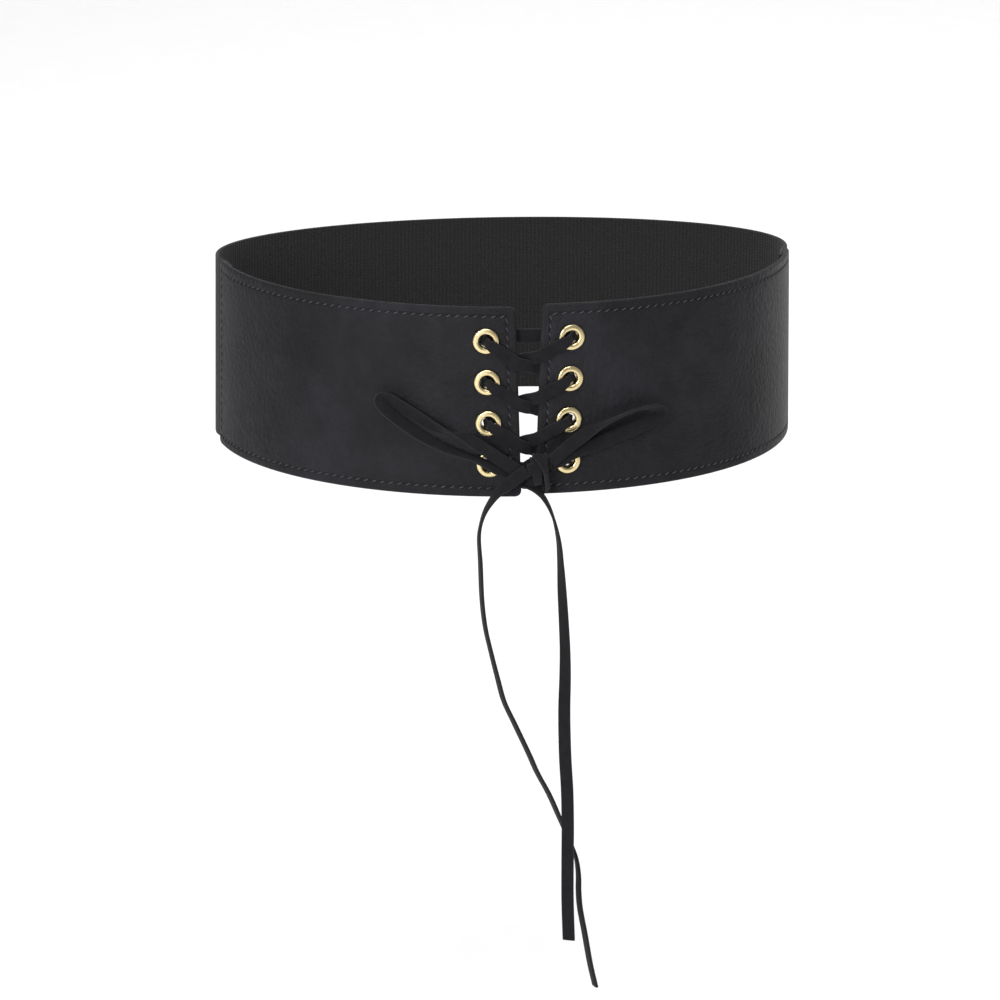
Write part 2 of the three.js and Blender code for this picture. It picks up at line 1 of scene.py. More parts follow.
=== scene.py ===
"""A laced corset belt: two stitched leather panels, eyelets, lacing, a tied bow and an elastic back.

Sizes are in millimetres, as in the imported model, and become metres where a mesh is made.
The middle of the waist opening is the origin, +Z is up and the laced front faces -Y.
"""
import math

import bpy
import numpy as np
from mathutils import Matrix, Vector


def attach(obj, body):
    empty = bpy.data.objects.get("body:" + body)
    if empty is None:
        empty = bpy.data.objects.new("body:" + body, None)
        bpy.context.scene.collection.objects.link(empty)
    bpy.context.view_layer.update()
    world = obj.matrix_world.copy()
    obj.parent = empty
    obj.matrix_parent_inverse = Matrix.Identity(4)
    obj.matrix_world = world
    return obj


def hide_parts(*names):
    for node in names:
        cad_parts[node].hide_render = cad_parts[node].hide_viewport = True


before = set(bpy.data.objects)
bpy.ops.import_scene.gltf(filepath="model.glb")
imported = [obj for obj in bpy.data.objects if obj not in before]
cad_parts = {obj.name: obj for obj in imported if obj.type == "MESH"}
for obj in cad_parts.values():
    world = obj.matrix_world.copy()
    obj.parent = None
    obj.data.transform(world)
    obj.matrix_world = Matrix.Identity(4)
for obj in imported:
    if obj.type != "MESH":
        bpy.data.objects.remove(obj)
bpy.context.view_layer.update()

MM = 0.001

# Plan of the waist at the leather's outer face
WAIST_HALF_WIDTH = 137
FRONT_DEPTH = 129
BACK_DEPTH = 73
FLARE = 0.5
BELT_HEIGHT = 88.8
PLAN_SAMPLES = 2881

# Leather panels
PANEL_LENGTH = 187
PANEL_THICKNESS = 2.4
PANEL_EDGE_RADIUS = 1.2
PANEL_CORNER_RADIUS = 3
GAP_HALF_AT_TOP = 5.9
GAP_HALF_AT_BOTTOM = 3.1
PANEL_STEP = 0.55
PANEL_GRID = 1.1
PANEL_RIM_LEAST = 0.12     # share of the half thickness left at the rim's outermost line
PANEL_RIM_GRADE = [
    0, 0.1, 0.25, 0.5, 0.8, 1.2, 1.8, 2.4, 3, 3.4, 3.75, 4, 4.2, 4.4, 4.6, 4.8, 5.1, 5.5, 6.2,
]
HOLE_MARGIN = 0.5
HOLE_REACH = 3.2
WANDER_HEIGHT = 0.12
WANDER_ALONG = 13.7
WANDER_UP = 17.3
WANDER_FADE = 12
INNER_RELIEF = 0.5         # share of the seam's relief that shows on the inner face

# Seam round each panel
SEAM_INSET = 4.4
STITCH_PITCH = 4.1
STITCH_LENGTH = 2.5
THREAD_RADIUS = 0.3
STITCH_SLANT = math.radians(24)
STITCH_HUMP = 0.16
STITCH_SINK = 0.2
BORDER_SWELL = 0.15
GROOVE_DEPTH = 0.6
GROOVE_HALF_WIDTH = 0.55
GROOVE_PULL = 0.2          # share of the groove's depth that comes and goes with the stitches
STITCH_SECTIONS = 7
THREAD_SIDES = 6

# Elastic band
BAND_THICKNESS = 1.6
BAND_RIM_INSET = 1
BAND_OVERLAP = 12
BAND_EASE = 14
BAND_GRID = 2.4
BAND_RIM_LEAST = 0.15
BAND_RIM_GRADE = [0, 0.15, 0.4, 0.8, 1.6]
BAND_DRAW_IN = 0.5
BAND_SAMPLES = 361

# Eyelets
EYELET_ROWS = 4
FIRST_ROW_DROP = 15.6
ROW_PITCH = 19.2
EYELET_INSET = 14.2
EYELET_HOLE_RADIUS = 3.15
EYELET_BARREL_WALL = 0.45
FLANGE_RADIUS = 6
FLANGE_HEIGHT = 1.5
WASHER_RADIUS = 5.4
WASHER_HEIGHT = 0.9
FLANGE_FOOT = 0.25         # share of the flange's height that its edges already have
FLANGE_LIP = 0.25
BARREL_LIP = 0.2
RING_DEPTH = 0.1
RING_PLACE = 0.62          # share of the way from the hole to the flange's edge
RING_HALF_WIDTH = 0.22
CROWN_POWER = 0.75         # under 1 is fuller than a half circle
WASHER_POWER = 0.8
CROWN_SAMPLES = 15
EYELET_SIDES = 56

# Flat suede lace
LACE_WIDTH = 6
LACE_THICKNESS = 1.4
GATHERED_WIDTH = 5.1
PINCHED_WIDTH = 3.6
PINCHED_THICKNESS = 2.4
LACE_BEND = 2.6
LACE_BITE = 0.8
LACE_SLACK = 1.45
BAR_RISE = 0.9
LACE_MEET = 1.7
LACE_SPREAD = 1.85
LACE_SQUARENESS = 5
LACE_SIDES = 24
GATHERED_CUP = -0.3
PINCHED_CUP = -0.5
KNOT_CUP = 0.25
LACE_STEP = 0.7
LOOP_STEP = 0.8
TAIL_STEP = 1.2
KNOT_STEP = 0.5
KNOT_ALONG = 4
KNOT_HANG = 2.6
KNOT_DROP = KNOT_HANG - (BELT_HEIGHT / 2 - FIRST_ROW_DROP - (EYELET_ROWS - 1) * ROW_PITCH)
KNOT_HALF_WIDTH = 3.4
KNOT_STAND_OFF = 5.1

CLEARANCE = 0.3
# how far the curved wall leaves a flat washer's edge: radius squared over twice the front's bend radius
WASHER_SAG = WASHER_RADIUS ** 2 / ((2 * WAIST_HALF_WIDTH ** 2) / FRONT_DEPTH)

# Camera: its axis is turned towards the picture's middle, so that the lens needs no shift.
AZIMUTH = math.radians(-5.54)
ELEVATION = math.radians(13.5)
ROLL = math.radians(-0.17)
DISTANCE = 2500
FOCAL_PIXELS = 5291
PICTURE_PIXELS = 1000
SENSOR_MM = 36
AXIS_PIXEL = (508.75, 352.74)     # where the view's own axis falls in the picture
AIM_OFFSET = (0, -6, 0)


def make_camera():
    """Sets the eye DISTANCE back along the view.

    The aim is the view's own axis, plus the offset of the picture's middle over the focal length.
    """
    back = Vector((
        math.sin(AZIMUTH) * math.cos(ELEVATION),
        -math.cos(AZIMUTH) * math.cos(ELEVATION),
        math.sin(ELEVATION),
    ))
    eye = (back * DISTANCE + Vector(AIM_OFFSET)) * MM
    right = Vector((math.cos(AZIMUTH), math.sin(AZIMUTH), 0))
    up = back.cross(right)
    turned_right = right * math.cos(ROLL) + up * -math.sin(ROLL)
    turned_up = up * math.cos(ROLL) + right * math.sin(ROLL)
    middle = PICTURE_PIXELS / 2
    across = (middle - AXIS_PIXEL[0]) / FOCAL_PIXELS
    rise = (AXIS_PIXEL[1] - middle) / FOCAL_PIXELS
    axis = (-back + turned_right * across + turned_up * rise).normalized()
    cam_right = axis.cross(turned_up).normalized()
    cam_up = cam_right.cross(axis)
    camera = bpy.data.objects.new("camera", bpy.data.cameras.new("camera"))
    camera.data.sensor_width = SENSOR_MM
    camera.data.lens = SENSOR_MM * FOCAL_PIXELS / PICTURE_PIXELS
    camera.data.clip_end = 50
    turn = Matrix((cam_right, cam_up, -axis)).transposed().to_4x4()
    camera.matrix_world = Matrix.Translation(eye) @ turn
    bpy.context.collection.objects.link(camera)
    bpy.context.scene.camera = camera


make_camera()


def plan_table():
    """Plan of half the waist: arc lengths from the gap, places and outward normals.

    Two half ellipses share their widest line, and the arc length is the sum of short chords.
    """
    angle = np.linspace(0, np.pi, PLAN_SAMPLES)
    depth = np.where(angle < np.pi / 2, FRONT_DEPTH, BACK_DEPTH)
    x = WAIST_HALF_WIDTH * np.sin(angle)
    y = (FRONT_DEPTH - BACK_DEPTH) / 2 - depth * np.cos(angle)
    length = np.concatenate([[0], np.cumsum(np.hypot(np.diff(x), np.diff(y)))])
    normal = np.stack([depth * np.sin(angle), -WAIST_HALF_WIDTH * np.cos(angle)], axis=-1)
    normal /= np.linalg.norm(normal, axis=-1, keepdims=True)
    return length, x, y, normal


PLAN_LENGTH, PLAN_X, PLAN_Y, PLAN_NORMAL = plan_table()
HALF_ROUND = PLAN_LENGTH[-1]


def outward(along):
    """Unit vectors out of the wall at signed arc lengths from the gap."""
    reach = np.abs(along)
    x = np.sign(along) * np.interp(reach, PLAN_LENGTH, PLAN_NORMAL[:, 0])
    y = np.interp(reach, PLAN_LENGTH, PLAN_NORMAL[:, 1])
    return np.stack([x, y, np.zeros_like(x)], axis=-1)


def wall(along, z, off):
    """Points at arc length, height and distance off the leather's outer face; the rims lean by FLARE."""
    along, z, off = np.broadcast_arrays(np.asarray(along, float), z, off)
    reach = np.abs(along)
    x = np.sign(along) * np.interp(reach, PLAN_LENGTH, PLAN_X)
    y = np.interp(reach, PLAN_LENGTH, PLAN_Y)
    lean = off - FLARE * z / (BELT_HEIGHT / 2)
    return np.stack([x, y, z.astype(float)], axis=-1) + outward(along) * lean[..., None]


def gap_half(z):
    """Half the gap's width at a height, in a straight line from top to bottom."""
    return GAP_HALF_AT_TOP + (GAP_HALF_AT_BOTTOM - GAP_HALF_AT_TOP) * (0.5 - z / BELT_HEIGHT)


def eyelet_at(row, side):
    """Arc length and height of an eyelet's middle; row 0 is the top one and side -1 the left panel."""
    level = BELT_HEIGHT / 2 - FIRST_ROW_DROP - row * ROW_PITCH
    return side * (gap_half(level) + EYELET_INSET), level + side * PANEL_STEP


def unit(vectors):
    """Vectors scaled to a length of one."""
    return vectors / np.linalg.norm(vectors, axis=-1, keepdims=True)


def glide(rows, step):
    """Smooth way through rows whose first three columns are a place.

    Each span is a cubic with Catmull-Rom slopes over the root of the spans' lengths, sampled every `step` mm.
    """
    rows = np.asarray(rows, float)
    gaps = np.linalg.norm(np.diff(rows[:, :3], axis=0), axis=1)
    knots = np.concatenate([[0], np.cumsum(np.sqrt(gaps))])
    spans = np.diff(knots)[:, None]
    chords = np.diff(rows, axis=0) / spans
    inner = (chords[:-1] * spans[1:] + chords[1:] * spans[:-1]) / (spans[:-1] + spans[1:])
    slopes = np.concatenate([chords[:1], inner, chords[-1:]])
    counts = np.maximum(1, np.ceil(gaps / step).astype(int))
    span = np.repeat(np.arange(len(gaps)), counts)
    share = np.concatenate([np.arange(n) / n for n in counts])
    span = np.append(span, len(gaps) - 1)
    share = np.append(share, 1.0)[:, None]
    start, end, width = rows[span], rows[span + 1], spans[span]
    square, cube = share ** 2, share ** 3
    return (
        (2 * cube - 3 * square + 1) * start
        + (cube - 2 * square + share) * width * slopes[span]
        + (3 * square - 2 * cube) * end
        + (cube - square) * width * slopes[span + 1]
    )


def linear(colour):
    """A hex sRGB colour as linear RGBA: a straight line near black, then a power of 2.4."""
    channels = [int(colour[i:i + 2], 16) / 255 for i in (1, 3, 5)]
    return [c / 12.92 if c <= 0.04045 else ((c + 0.055) / 1.055) ** 2.4 for c in channels] + [1]


def add(tree, kind, inputs=(), **settings):
    """Adds a node; each input is a value, or the output that feeds it."""
    made = tree.nodes.new(kind)
    for name, value in settings.items():
        setattr(made, name, value)
    for key, value in dict(inputs).items():
        if isinstance(value, bpy.types.NodeSocket):
            tree.links.new(value, made.inputs[key])
        else:
            made.inputs[key].default_value = value
    return made


def new_material(name):
    """An empty node material with its output, and the surface's shader already linked to it."""
    material = bpy.data.materials.new(name)
    material.use_nodes = True
    tree = material.node_tree
    tree.nodes.clear()
    shader = tree.nodes.new("ShaderNodeBsdfPrincipled")
    output = tree.nodes.new("ShaderNodeOutputMaterial")
    tree.links.new(shader.outputs["BSDF"], output.inputs["Surface"])
    return material, tree, shader


def ramp(tree, factor, stops):
    """Colour ramp with (place, hex colour) stops."""
    made = add(tree, "ShaderNodeValToRGB", {"Fac": factor})
    elements = made.color_ramp.elements
    while len(elements) < len(stops):
        elements.new(0.5)
    for element, (place, colour) in zip(elements, stops):
        element.position = place
        element.color = linear(colour)
    return made.outputs["Color"]


def coated_leather():
    """PU-coated leather cloth, embossed and rolled: charcoal, soft broad gloss, pebble grain of 0.7 mm, and
    broad blotches of tone that are partly random and partly painted sheen.
    """
    material, tree, shader = new_material("charcoal_pu_leather")
    place = add(tree, "ShaderNodeTexCoord").outputs["Object"]
    # grain cells 0.7 mm across: 1 / 0.0007 m
    cells = add(tree, "ShaderNodeTexVoronoi", {"Vector": place, "Scale": 1400, "Smoothness": 0.35},
                feature="SMOOTH_F1")
    creases = add(tree, "ShaderNodeTexNoise", {"Vector": place, "Scale": 420, "Detail": 4, "Roughness": 0.6})
    # broad blotches about 36 mm across: partly random tone, partly painted sheen, lighter patches that stand
    # in for uneven gloss
    mottle_and_sheen = add(tree, "ShaderNodeTexNoise", {"Vector": place, "Scale": 28, "Detail": 6, "Roughness": 0.68})
    colour = ramp(tree, mottle_and_sheen.outputs["Fac"], [(0.34, "#202022"), (0.5, "#252528"), (0.66, "#2b2b2f")])
    tree.links.new(colour, shader.inputs["Base Color"])
    rough = add(tree, "ShaderNodeMapRange", {"Value": creases.outputs["Fac"], "To Min": 0.4, "To Max": 0.54})
    tree.links.new(rough.outputs["Result"], shader.inputs["Roughness"])
    bump = add(tree, "ShaderNodeBump", {
        "Height": cells.outputs["Distance"], "Strength": 0.5, "Distance": 0.0002,
    })
    soft = add(tree, "ShaderNodeBump", {
        "Height": creases.outputs["Fac"], "Strength": 0.8, "Distance": 0.0012,
        "Normal": bump.outputs["Normal"],
    })
    tree.links.new(soft.outputs["Normal"], shader.inputs["Normal"])
    shader.inputs["Specular IOR Level"].default_value = 0.06
    return material


def woven_elastic():
    """Knitted rubber-core elastic: matt black, with ribs up the band that are crossed by the weft.

    Real ribs are about 1.1 mm apart and the weft 0.6 mm; both are drawn coarser, at 1.9 and 1.2 mm, to show.
    """
    material, tree, shader = new_material("black_woven_elastic")
    uv = add(tree, "ShaderNodeUVMap", uv_map="lay").outputs["UV"]
    # the UV map is in millimetres, and a wave's bands are pi / (10 * scale) apart
    ribs = add(tree, "ShaderNodeTexWave", {
        "Vector": uv, "Scale": 0.165, "Distortion": 0.6, "Detail Scale": 2,
    }, bands_direction="X")
    weft = add(tree, "ShaderNodeTexWave", {
        "Vector": uv, "Scale": 0.262, "Distortion": 0.4,
    }, bands_direction="Y")
    weave = add(tree, "ShaderNodeMath", {
        0: ribs.outputs["Fac"], 1: weft.outputs["Fac"],
    }, operation="MULTIPLY")
    colour = ramp(tree, weave.outputs["Value"], [(0, "#060607"), (0.5, "#111112"), (1, "#1e1e20")])
    tree.links.new(colour, shader.inputs["Base Color"])
    bump = add(tree, "ShaderNodeBump", {
        "Height": weave.outputs["Value"], "Strength": 0.7, "Distance": 0.0006,
    })
    tree.links.new(bump.outputs["Normal"], shader.inputs["Normal"])
    shader.inputs["Roughness"].default_value = 0.88
    shader.inputs["Sheen Weight"].default_value = 0.06
    return material


def faux_suede():
    """Flat faux-suede lace: brushed microfibre, no gloss, faces near black and cut edges a little paler."""
    material, tree, shader = new_material("black_faux_suede")
    place = add(tree, "ShaderNodeTexCoord").outputs["Object"]
    uv = add(tree, "ShaderNodeUVMap", uv_map="lay").outputs["UV"]
    across = add(tree, "ShaderNodeSeparateXYZ", {"Vector": uv}).outputs["X"]
    # nap tufts about 0.3 mm across: 1 / 0.0003 m
    nap = add(tree, "ShaderNodeTexNoise", {"Vector": place, "Scale": 3200, "Detail": 3, "Roughness": 0.7})
    brushed = add(tree, "ShaderNodeTexNoise", {"Vector": place, "Scale": 260, "Detail": 2})
    face = ramp(tree, brushed.outputs["Fac"], [(0.3, "#100f12"), (0.7, "#17161a")])
    middle = add(tree, "ShaderNodeMath", {0: across, 1: 0.5}, operation="SUBTRACT")
    from_middle = add(tree, "ShaderNodeMath", {0: middle.outputs["Value"]}, operation="ABSOLUTE")
    edge = add(tree, "ShaderNodeMapRange", {
        "Value": from_middle.outputs["Value"], "From Min": 0.44, "From Max": 0.5,
    }, interpolation_type="SMOOTHSTEP")
    cut = add(tree, "ShaderNodeMix", {"Factor": edge.outputs["Result"], "A": face, "B": linear("#1f1e22")},
              data_type="RGBA")
    tree.links.new(cut.outputs[2], shader.inputs["Base Color"])
    bump = add(tree, "ShaderNodeBump", {"Height": nap.outputs["Fac"], "Strength": 0.35, "Distance": 0.0002})
    tree.links.new(bump.outputs["Normal"], shader.inputs["Normal"])
    shader.inputs["Roughness"].default_value = 0.92
    shader.inputs["Specular IOR Level"].default_value = 0.25
    shader.inputs["Sheen Weight"].default_value = 0.04
    shader.inputs["Sheen Roughness"].default_value = 0.5
    return material


def polyester_thread():
    """Bonded polyester sewing thread: black, faintly glossy, with a twist of about 0.3 mm; its grey, lighter
    than the leather, is painted highlight.
    """
    material, tree, shader = new_material("black_polyester_thread")
    place = add(tree, "ShaderNodeTexCoord").outputs["Object"]
    twist = add(tree, "ShaderNodeTexNoise", {"Vector": place, "Scale": 3000, "Detail": 1})
    # painted highlight: the black thread is coloured a grey lighter than the leather, as if it caught the
    # light
    colour = ramp(tree, twist.outputs["Fac"], [(0.3, "#303033"), (0.7, "#454549")])
    tree.links.new(colour, shader.inputs["Base Color"])
    bump = add(tree, "ShaderNodeBump", {"Height": twist.outputs["Fac"], "Strength": 0.3, "Distance": 0.0001})
    tree.links.new(bump.outputs["Normal"], shader.inputs["Normal"])
    shader.inputs["Roughness"].default_value = 0.55
    return material


def gold_plate():
    """Pale gold plate over a stamped brass eyelet: bright, with faint handling haze."""
    material, tree, shader = new_material("pale_gold_plate")
    place = add(tree, "ShaderNodeTexCoord").outputs["Object"]
    haze = add(tree, "ShaderNodeTexNoise", {"Vector": place, "Scale": 700, "Detail": 3})
    colour = ramp(tree, haze.outputs["Fac"], [(0.3, "#dfcb98"), (0.7, "#ebd9a9")])
    tree.links.new(colour, shader.inputs["Base Color"])
    rough = add(tree, "ShaderNodeMapRange", {"Value": haze.outputs["Fac"], "To Min": 0.24, "To Max": 0.3})
    tree.links.new(rough.outputs["Result"], shader.inputs["Roughness"])
    shader.inputs["Metallic"].default_value = 1
    return material


def photo_paper():
    """Matt pale studio paper."""
    material, tree, shader = new_material("pale_studio_paper")
    place = add(tree, "ShaderNodeTexCoord").outputs["Object"]
    fibre = add(tree, "ShaderNodeTexNoise", {"Vector": place, "Scale": 40, "Detail": 2})
    colour = ramp(tree, fibre.outputs["Fac"], [(0, "#f3f3f3"), (1, "#f6f6f6")])
    tree.links.new(colour, shader.inputs["Base Color"])
    shader.inputs["Roughness"].default_value = 0.9
    return material


LEATHER = coated_leather()
ELASTIC = woven_elastic()
SUEDE = faux_suede()
THREAD = polyester_thread()
GOLD = gold_plate()


def outward_faces(points, quads):
    """Quads turned so that the closed mesh's signed volume is positive."""
    a, b, c, d = (points[quads[:, i]] for i in range(4))
    volume = np.einsum("ij,ij->", a, np.cross(b, c)) + np.einsum("ij,ij->", a, np.cross(c, d))
    return quads if volume > 0 else quads[:, ::-1]


def make_piece(name, points, quads, material, uv=None, caps=()):
    """A smooth-shaded piece in metres on the root body; uv gives each point its place on the `lay` map."""
    points = np.asarray(points, float).reshape(-1, 3)
    mesh = bpy.data.meshes.new(name)
    mesh.from_pydata(points * MM, [], [*quads.tolist(), *caps])
    mesh.update()
    mesh.shade_smooth()
    if uv is not None:
        corners = np.empty(len(mesh.loops), dtype=np.int32)
        mesh.loops.foreach_get("vertex_index", corners)
        layer = mesh.uv_layers.new(name="lay")
        layer.data.foreach_set("uv", np.asarray(uv, np.float32).reshape(-1, 2)[corners].ravel())
    mesh.materials.append(material)
    made = bpy.data.objects.new(name, mesh)
    bpy.context.collection.objects.link(made)
    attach(made, "root")
    return made


def tube_quads(rings, sides, closed=False):
    """Quads between rings of equally many points; closed joins the last ring to the first."""
    i = np.arange(rings if closed else rings - 1)[:, None]
    j = np.arange(sides)[None, :]
    a = i * sides + j
    b = i * sides + (j + 1) % sides
    c = (i + 1) % rings * sides + (j + 1) % sides
    d = (i + 1) % rings * sides + j
    return np.stack([a, b, c, d], axis=-1).reshape(-1, 4)


def shell_quads(keep):
    """Faces of a wall from an outer and an inner grid: both skins of the kept cells, and their edges."""
    rows, columns = keep.shape[0] + 1, keep.shape[1] + 1
    index = np.arange(rows * columns).reshape(rows, columns)
    inner = rows * columns
    a, b, c, d = index[:-1, :-1], index[1:, :-1], index[1:, 1:], index[:-1, 1:]
    skin = np.stack([a, b, c, d], axis=-1)[keep]
    faces = [skin, skin[:, ::-1] + inner]
    padded = np.pad(keep, 1)
    before, after = padded[1:-1, :-1], padded[1:-1, 1:]
    p, q = index[:-1, :], index[1:, :]
    for first, second, where in ((q, p, after & ~before), (p, q, before & ~after)):
        edge = np.stack([first, second, second + inner, first + inner], axis=-1)
        faces.append(edge[where])
    before, after = padded[:-1, 1:-1], padded[1:, 1:-1]
    p, q = index[:, :-1], index[:, 1:]
    for first, second, where in ((p, q, after & ~before), (q, p, before & ~after)):
        edge = np.stack([first, second, second + inner, first + inner], axis=-1)
        faces.append(edge[where])
    return np.concatenate(faces)


def used_only(points, quads, uv):
    """Drops the points that no face uses."""
    used, renumbered = np.unique(quads, return_inverse=True)
    return points[used], renumbered.reshape(quads.shape), uv[used]


def graded(length, near_edge, step):
    """Grid lines from 0 to length: close together near both ends, then about `step` apart."""
    near_edge = np.asarray(near_edge)
    count = int(round((length - 2 * near_edge[-1]) / step))
    middle = np.linspace(near_edge[-1], length - near_edge[-1], count + 1)[1:-1]
    return np.concatenate([near_edge, middle, length - near_edge[::-1]])


def rim_distance(u, z):
    """Distance to the outline of a panel, a rectangle with rounded corners."""
    past_u = np.abs(u - PANEL_LENGTH / 2) - (PANEL_LENGTH / 2 - PANEL_CORNER_RADIUS)
    past_z = np.abs(z) - (BELT_HEIGHT / 2 - PANEL_CORNER_RADIUS)
    outside = np.hypot(np.maximum(past_u, 0), np.maximum(past_z, 0))
    inside = np.minimum(np.maximum(past_u, past_z), 0)
    return np.clip(PANEL_CORNER_RADIUS - outside - inside, 0, None)


def seam_relief(distance, along_seam):
    """Height off a flat skin: a folded border that swells, less a seam groove in a bell curve.

    Its depth comes and goes by GROOVE_PULL as a cosine along the seam, once a stitch.
    """
    border = BORDER_SWELL * np.sin(np.pi * np.clip(distance / SEAM_INSET, 0, 1))
    pull = 1 - GROOVE_PULL + GROOVE_PULL * np.cos(2 * np.pi * along_seam / STITCH_PITCH)
    return border - GROOVE_DEPTH * pull * np.exp(-((distance - SEAM_INSET) / GROOVE_HALF_WIDTH) ** 2)


def open_hole(u, z, centre_u, centre_z, radius):
    """Draws the grid's squares round a point into circles, and tells what lies inside the radius.

    The change fades out over HOLE_REACH beyond the radius, as a smooth step.
    """
    du, dz = u - centre_u, z - centre_z
    square = np.maximum(np.abs(du), np.abs(dz))
    angle = np.arctan2(dz, du)
    share = np.clip((radius + HOLE_REACH - square) / HOLE_REACH, 0, 1)
    share = share * share * (3 - 2 * share)
    return (
        u + share * (np.cos(angle) * square - du),
        z + share * (np.sin(angle) * square - dz),
        square < radius,
    )


def leather_panel(name, side):
    """Wall whose skins follow the distance to its rim: rounded rim, swollen border and seam groove."""
    u, z = np.meshgrid(
        graded(PANEL_LENGTH, PANEL_RIM_GRADE, PANEL_GRID),
        graded(BELT_HEIGHT, PANEL_RIM_GRADE, PANEL_GRID) - BELT_HEIGHT / 2,
        indexing="ij",
    )
    corner = np.clip(PANEL_CORNER_RADIUS - np.minimum(u, PANEL_LENGTH - u), 0, None)
    drop = PANEL_CORNER_RADIUS - np.sqrt(PANEL_CORNER_RADIUS ** 2 - corner ** 2)
    z = z * (1 - drop / (BELT_HEIGHT / 2))
    cut = np.zeros(u.shape, bool)
    hole_radius = EYELET_HOLE_RADIUS + EYELET_BARREL_WALL + HOLE_MARGIN
    for row in range(EYELET_ROWS):
        _, level = eyelet_at(row, side)
        u, z, inside = open_hole(u, z, EYELET_INSET, level - side * PANEL_STEP, hole_radius)
        cut |= inside
    keep = ~(cut[:-1, :-1] | cut[1:, :-1] | cut[1:, 1:] | cut[:-1, 1:])
    distance = rim_distance(u, z)
    arm = np.clip(PANEL_EDGE_RADIUS - distance, 0, None) / PANEL_EDGE_RADIUS
    half = PANEL_THICKNESS / 2 * np.maximum(PANEL_RIM_LEAST, np.sqrt(1 - arm ** 2))
    beside_end = np.minimum(u, PANEL_LENGTH - u) < BELT_HEIGHT / 2 - np.abs(z)
    relief = seam_relief(distance, np.where(beside_end, z, u))
    # the faces of stitched leather are never quite true
    wander = WANDER_HEIGHT * np.sin(u / WANDER_ALONG + side) * np.cos(z / WANDER_UP)
    wander = wander * np.clip(distance / WANDER_FADE, 0, 1)
    start = gap_half(z)
    along = side * (start + (gap_half(0) + PANEL_LENGTH - start) * u / PANEL_LENGTH)
    skins = [
        wall(along, z, -PANEL_THICKNESS / 2 + half + relief + wander),
        wall(along, z, -PANEL_THICKNESS / 2 - half - INNER_RELIEF * relief),
    ]
    points = np.stack(skins)
    points[..., 2] += side * PANEL_STEP
    lay = np.broadcast_to(np.stack([u, z], axis=-1), (2, *u.shape, 2))
    quads = shell_quads(keep)
    points, quads, lay = used_only(points.reshape(-1, 3), quads, lay.reshape(-1, 2))
    made = make_piece(name, points, outward_faces(points, quads), LEATHER, lay)
    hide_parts(name)


def seam_stitches(name, side):
    """Stitches along a rectangle inside the rim, on both faces.

    Each is a short slanted thread, humped in the middle and sunk at its ends.
    """
    half_u = PANEL_LENGTH / 2 - SEAM_INSET
    half_z = BELT_HEIGHT / 2 - SEAM_INSET
    corners = np.array([[-half_u, -half_z], [half_u, -half_z], [half_u, half_z], [-half_u, half_z]])
    middles = []
    travels = []
    for start, end in zip(corners, np.roll(corners, -1, axis=0)):
        length = np.linalg.norm(end - start)
        count = int(round(length / STITCH_PITCH))
        share = (np.arange(count) + 0.5)[:, None] / count
        middles.append(start + (end - start) * share)
        travels.append(np.repeat([(end - start) / length], count, axis=0))
    middles, travels = np.concatenate(middles), np.concatenate(travels)
    # a lock stitch leans the same way seen from outside, whichever side of the panel it is on
    slant = np.stack([travels[:, 0] * side, travels[:, 1]], axis=-1)
    cos, sin = math.cos(STITCH_SLANT), math.sin(STITCH_SLANT)
    turned = np.stack([slant[:, 0] * cos - slant[:, 1] * sin, slant[:, 0] * sin + slant[:, 1] * cos], axis=-1)
    turned[:, 0] *= side
    across = np.stack([-turned[:, 1], turned[:, 0]], axis=-1)
    run = np.linspace(-1, 1, STITCH_SECTIONS)
    ring = np.linspace(0, 2 * np.pi, THREAD_SIDES, endpoint=False)
    # the thread stays thick to near its ends, where a seventh of its radius is left
    thick = THREAD_RADIUS * np.sqrt(np.clip(1.02 - run ** 4, 0, 1))
    rise = STITCH_HUMP * (1 - run ** 2) - STITCH_SINK
    points = []
    for skin, level in ((1, 0), (-1, -PANEL_THICKNESS)):
        flat = (
            middles[:, None, None, :]
            + turned[:, None, None, :] * (run * STITCH_LENGTH / 2)[None, :, None, None]
            + across[:, None, None, :] * (thick[:, None] * np.cos(ring))[None, :, :, None]
        )
        # drawn tight, it is a tenth flatter than wide
        off = level + skin * (rise[:, None] + thick[:, None] * np.sin(ring) * 0.9)
        u = flat[..., 0] + PANEL_LENGTH / 2
        z = flat[..., 1]
        start = gap_half(z)
        along = side * (start + (gap_half(0) + PANEL_LENGTH - start) * u / PANEL_LENGTH)
        placed = wall(along, z, np.broadcast_to(off, u.shape))
        placed[..., 2] += side * PANEL_STEP
        points.append(placed)
    points = np.concatenate(points).reshape(-1, len(run) * len(ring), 3)
    one = tube_quads(len(run), len(ring))
    # each end is a hexagon of two quads
    ends = np.array([[0, 1, 2, 3], [0, 3, 4, 5]])
    one = np.concatenate([one, ends[:, ::-1], ends + (len(run) - 1) * len(ring)])
    stitches = np.arange(len(points))[:, None, None] * len(run) * len(ring)
    quads = (one[None] + stitches).reshape(-1, 4)
    flat_points = points.reshape(-1, 3)
    halves = np.split(quads, 2)
    turned_out = np.concatenate([outward_faces(flat_points, half) for half in halves])
    make_piece(name, flat_points, turned_out, THREAD)


